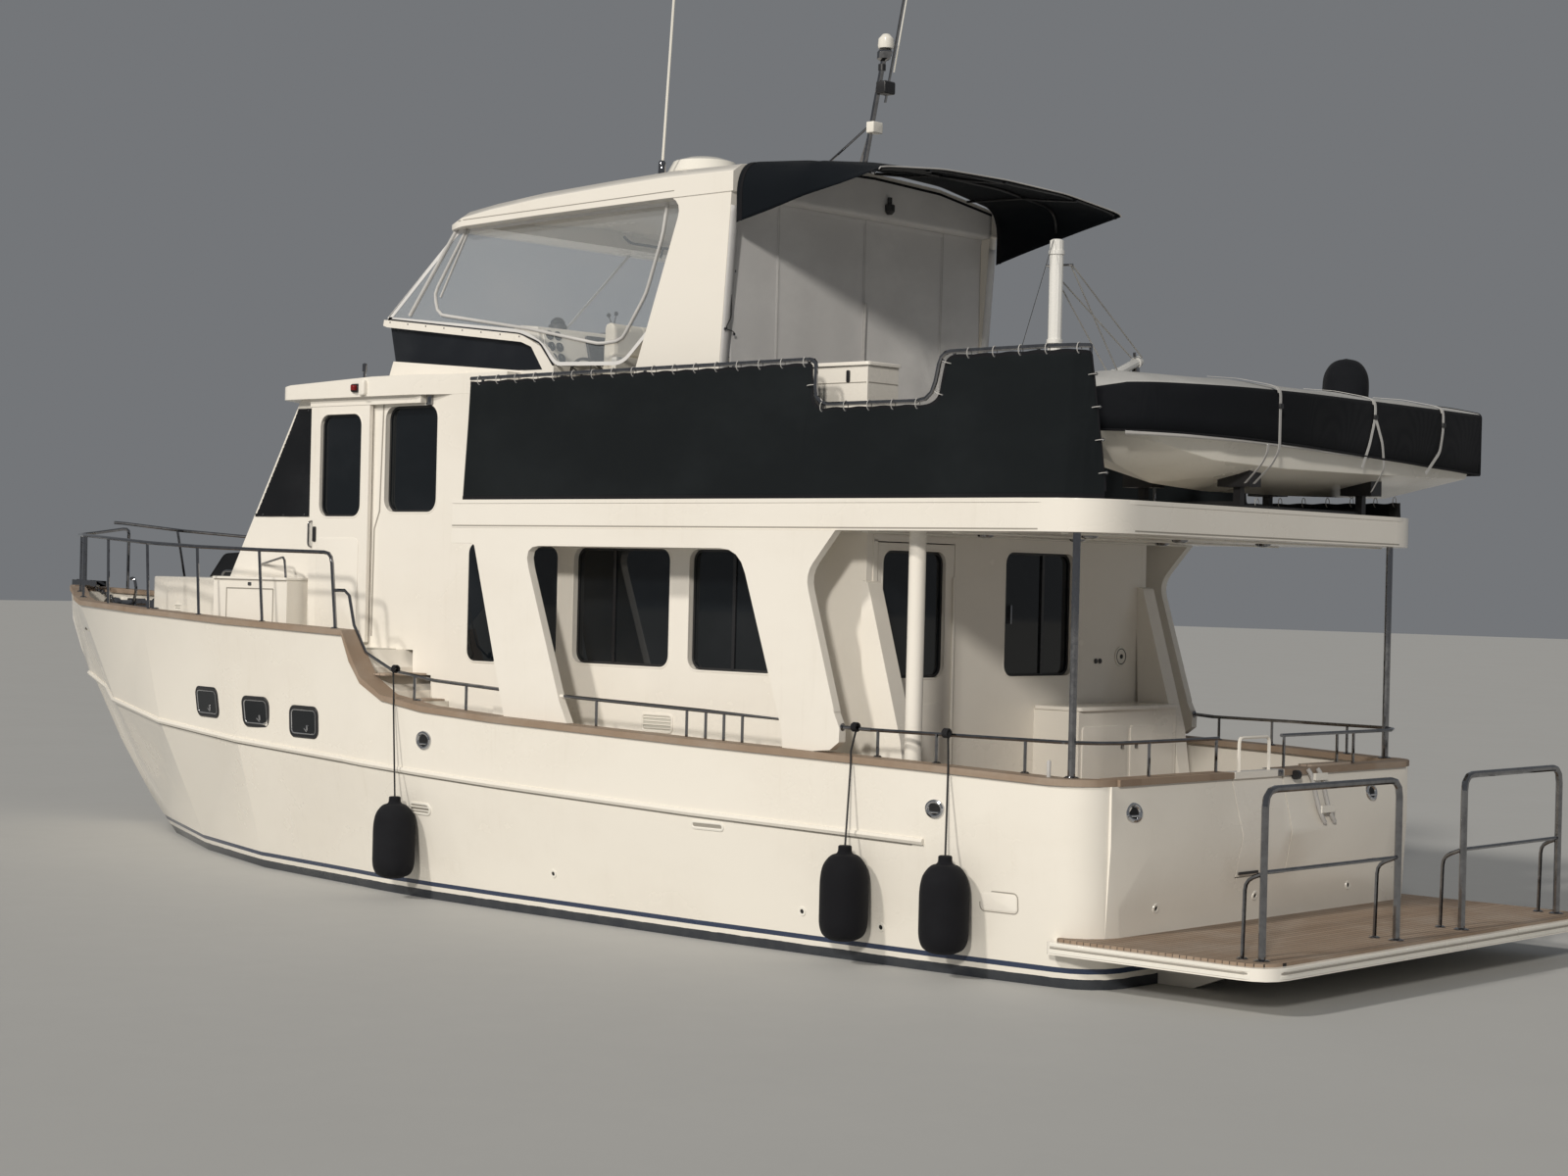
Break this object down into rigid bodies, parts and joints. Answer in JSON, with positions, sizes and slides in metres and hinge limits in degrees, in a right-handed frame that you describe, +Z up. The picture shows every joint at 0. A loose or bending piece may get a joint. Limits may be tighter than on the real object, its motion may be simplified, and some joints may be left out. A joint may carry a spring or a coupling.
{
  "type": "motor yacht",
  "caption": "Raised-pilothouse motor yacht with covered cockpit, flybridge hardtop, davit, stowed tender and swim platform.",
  "frame": {"origin": "on the waterline and the centreline, 7.3 m forward of the transom", "axes": "+X forward, +Y to port, +Z up"},
  "size_m": [16.03, 5.0864, 9.4605],
  "materials": {
    "gelcoat": "cream-white gelcoat",
    "antifoul": "matt antifouling",
    "teak": "weathered teak",
    "steel": "polished stainless",
    "dark_glass": "tinted",
    "clear_film": "clear vinyl",
    "black_canvas": "woven acrylic",
    "grey_cloth": "woven acrylic",
    "rubber": "inflated vinyl",
    "bronze": "cast bronze",
    "cushion": "vinyl",
    "engine_paint": "satin",
    "white_alloy": "white powder coat"
  },
  "bodies": {
    "yacht": {"hull": "gelcoat", "cap_rail": "teak", "engine": "engine_paint", "saloon_sole": "teak", "swim_platform": "gelcoat", "platform_teak": "teak", "swim_rail_port": "steel", "swim_rail_starboard": "steel", "saloon_house": "gelcoat", "saloon_glass_port": "dark_glass", "saloon_glass_starboard": "dark_glass", "bulkhead_window": "dark_glass", "side_panel_port": "gelcoat", "side_panel_starboard": "gelcoat", "boat_deck": "gelcoat", "pilothouse": "gelcoat", "pilothouse_glass_port": "dark_glass", "pilothouse_glass_starboard": "dark_glass", "windscreen_cover": "black_canvas", "pilothouse_roof": "gelcoat", "flybridge_glass": "dark_glass", "flybridge_coaming": "gelcoat", "helm_console": "gelcoat", "helm_seat_base": "gelcoat", "helm_seat_cushion": "cushion", "hardtop": "gelcoat", "clear_enclosure": "clear_film", "awning": "black_canvas", "aft_curtain": "grey_cloth", "side_skirt_port": "black_canvas", "side_skirt_starboard": "black_canvas", "deck_rail_port": "steel", "deck_rail_starboard": "steel", "tender_hull": "gelcoat", "tender_cover": "black_canvas", "tender_chocks": "rubber", "trunk_cabin": "gelcoat", "windlass": "steel", "bow_rail_port": "steel", "bow_rail_starboard": "steel", "cockpit_rail_port": "steel", "cockpit_rail_starboard": "steel", "fender_fore": "rubber", "fender_middle": "rubber", "fender_aft": "rubber", "radar_dome": "gelcoat", "light_mast": "steel"},
    "gate": {"transom_gate": "gelcoat"},
    "rudder": {"rudder": "antifoul"},
    "propeller": {"propeller": "bronze"},
    "saloon_door": {"saloon_door": "gelcoat", "saloon_door_glass": "dark_glass"},
    "side_door_port": {"side_door_port": "gelcoat", "side_door_glass_port": "dark_glass"},
    "side_door_starboard": {"side_door_starboard": "gelcoat", "side_door_glass_starboard": "dark_glass"},
    "fore_hatch": {"fore_hatch": "dark_glass"},
    "davit": {"davit_mast": "white_alloy"},
    "boom": {"davit_boom": "white_alloy"}
  },
  "joints": [
    {"name": "gate_hinge", "type": "hinge", "parent": "yacht", "child": "gate", "pos_m": [-7.225, 0.465, 1.06], "axis": [0, 0, 1], "range_deg": [0, 95]},
    {"name": "rudder_turn", "type": "hinge", "parent": "yacht", "child": "rudder", "pos_m": [-6.05, 0, -0.85], "axis": [0, 0, 1], "range_deg": [-35, 35]},
    {"name": "propeller_spin", "type": "hinge", "parent": "yacht", "child": "propeller", "pos_m": [-5.3, 0, -0.87], "axis": [1, 0, 0], "continuous": true},
    {"name": "saloon_door_hinge", "type": "hinge", "parent": "yacht", "child": "saloon_door", "pos_m": [-5.042, 0.74, 1.9], "axis": [0, 0, 1], "range_deg": [0, 95]},
    {"name": "side_door_port_slide", "type": "slide", "parent": "yacht", "child": "side_door_port", "axis": [-1, 0, 0], "range_m": [0, 0.64]},
    {"name": "side_door_starboard_slide", "type": "slide", "parent": "yacht", "child": "side_door_starboard", "axis": [-1, 0, 0], "range_m": [0, 0.64]},
    {"name": "fore_hatch_lift", "type": "hinge", "parent": "yacht", "child": "fore_hatch", "pos_m": [2.636, 0, 2.542], "axis": [0, -1, 0], "range_deg": [0, 85]},
    {"name": "davit_slew", "type": "hinge", "parent": "yacht", "child": "davit", "pos_m": [-5.35, 0, 3.4], "axis": [0, 0, 1], "range_deg": [-170, 170]},
    {"name": "boom_luff", "type": "hinge", "parent": "davit", "child": "boom", "pos_m": [-5.3241, -0.1069, 3.95], "axis": [-0.972, -0.2351, 0], "range_deg": [0, 35]}
  ]
}
